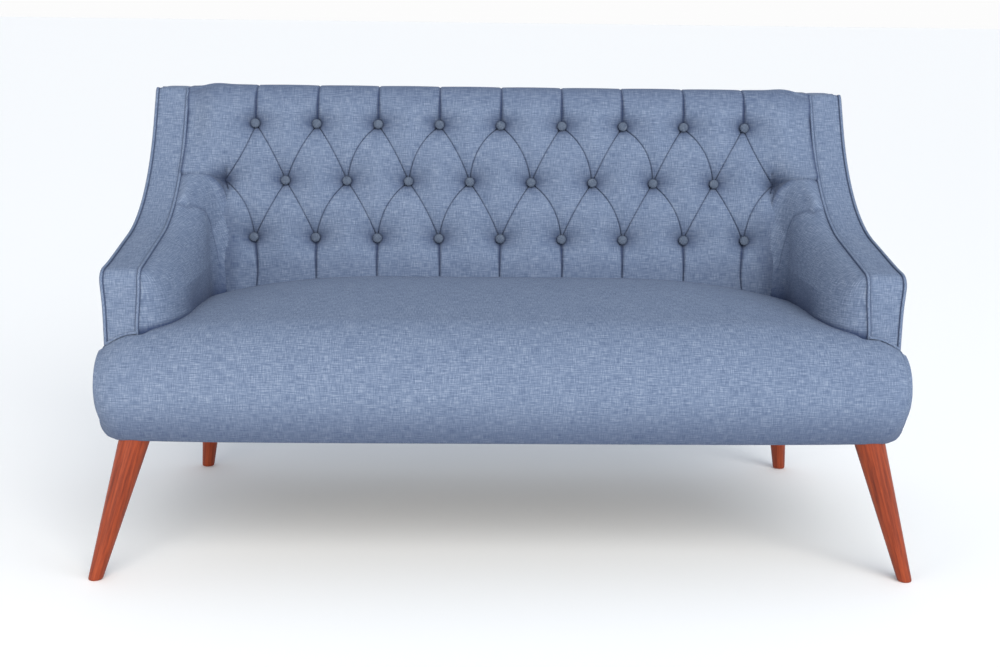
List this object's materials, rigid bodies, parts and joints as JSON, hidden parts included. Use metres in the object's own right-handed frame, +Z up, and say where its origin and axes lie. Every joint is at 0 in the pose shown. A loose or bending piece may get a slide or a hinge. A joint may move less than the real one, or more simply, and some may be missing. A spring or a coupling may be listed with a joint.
{
  "type": "two-seater sofa",
  "caption": "Small upholstered sofa with a diamond-tufted back, swooping piped arms, a deep sprung seat and splayed tapered wooden legs.",
  "frame": {"origin": "on the floor under the middle of the sofa's overall box", "axes": "+X to the right of someone facing the sofa, along its width; +Y from its front to its back; +Z up"},
  "size_m": [1.4124, 0.6897, 0.8039],
  "materials": {
    "upholstery": "woven linen, matt",
    "piping": "woven linen on the bias, matt",
    "button_cloth": "woven linen, matt",
    "leg_wood": "red-brown stain, satin",
    "frame_wood": "planed, unfinished",
    "plywood": "sanded, unfinished",
    "foam": "open-cell foam, matt",
    "felt": "needled felt, matt",
    "dust_cloth": "spun-bonded cloth, matt",
    "steel": "plain",
    "twine": "waxed twine"
  },
  "bodies": {
    "root": {"front_left_leg": "leg_wood", "front_right_leg": "leg_wood", "rear_left_leg": "leg_wood", "rear_right_leg": "leg_wood", "seat_cover": "upholstery", "tufted_back_pad": "upholstery", "back_top_border": "upholstery", "outside_back_panel": "upholstery", "left_arm_pad": "upholstery", "left_arm_band": "upholstery", "left_outside_arm_panel": "upholstery", "right_arm_pad": "upholstery", "right_arm_band": "upholstery", "right_outside_arm_panel": "upholstery", "left_inner_welt": "piping", "left_outer_welt": "piping", "right_inner_welt": "piping", "right_outer_welt": "piping", "tufting_buttons": "button_cloth", "front_seat_rail": "frame_wood", "rear_seat_rail": "frame_wood", "centre_stretcher": "frame_wood", "back_top_rail": "frame_wood", "back_bottom_rail": "frame_wood", "front_left_corner_block": "frame_wood", "front_right_corner_block": "frame_wood", "rear_left_corner_block": "frame_wood", "rear_right_corner_block": "frame_wood", "left_seat_rail": "frame_wood", "left_arm_posts": "frame_wood", "left_back_upright": "frame_wood", "right_seat_rail": "frame_wood", "right_arm_posts": "frame_wood", "right_back_upright": "frame_wood", "tufting_board": "plywood", "left_arm_inner_board": "plywood", "left_arm_outer_board": "plywood", "left_arm_band_board": "plywood", "right_arm_inner_board": "plywood", "right_arm_outer_board": "plywood", "right_arm_band_board": "plywood", "seat_foam": "foam", "seat_edge_roll": "foam", "back_foam": "foam", "spring_felt": "felt", "dust_cover": "dust_cloth", "spring_clips": "steel", "leg_hanger_bolts": "steel", "leg_insert_nuts": "steel", "tie_washers": "steel", "seat_spring_1": "steel", "seat_spring_2": "steel", "seat_spring_3": "steel", "seat_spring_4": "steel", "seat_spring_5": "steel", "seat_spring_6": "steel", "button_ties": "twine"}
  },
  "joints": []
}
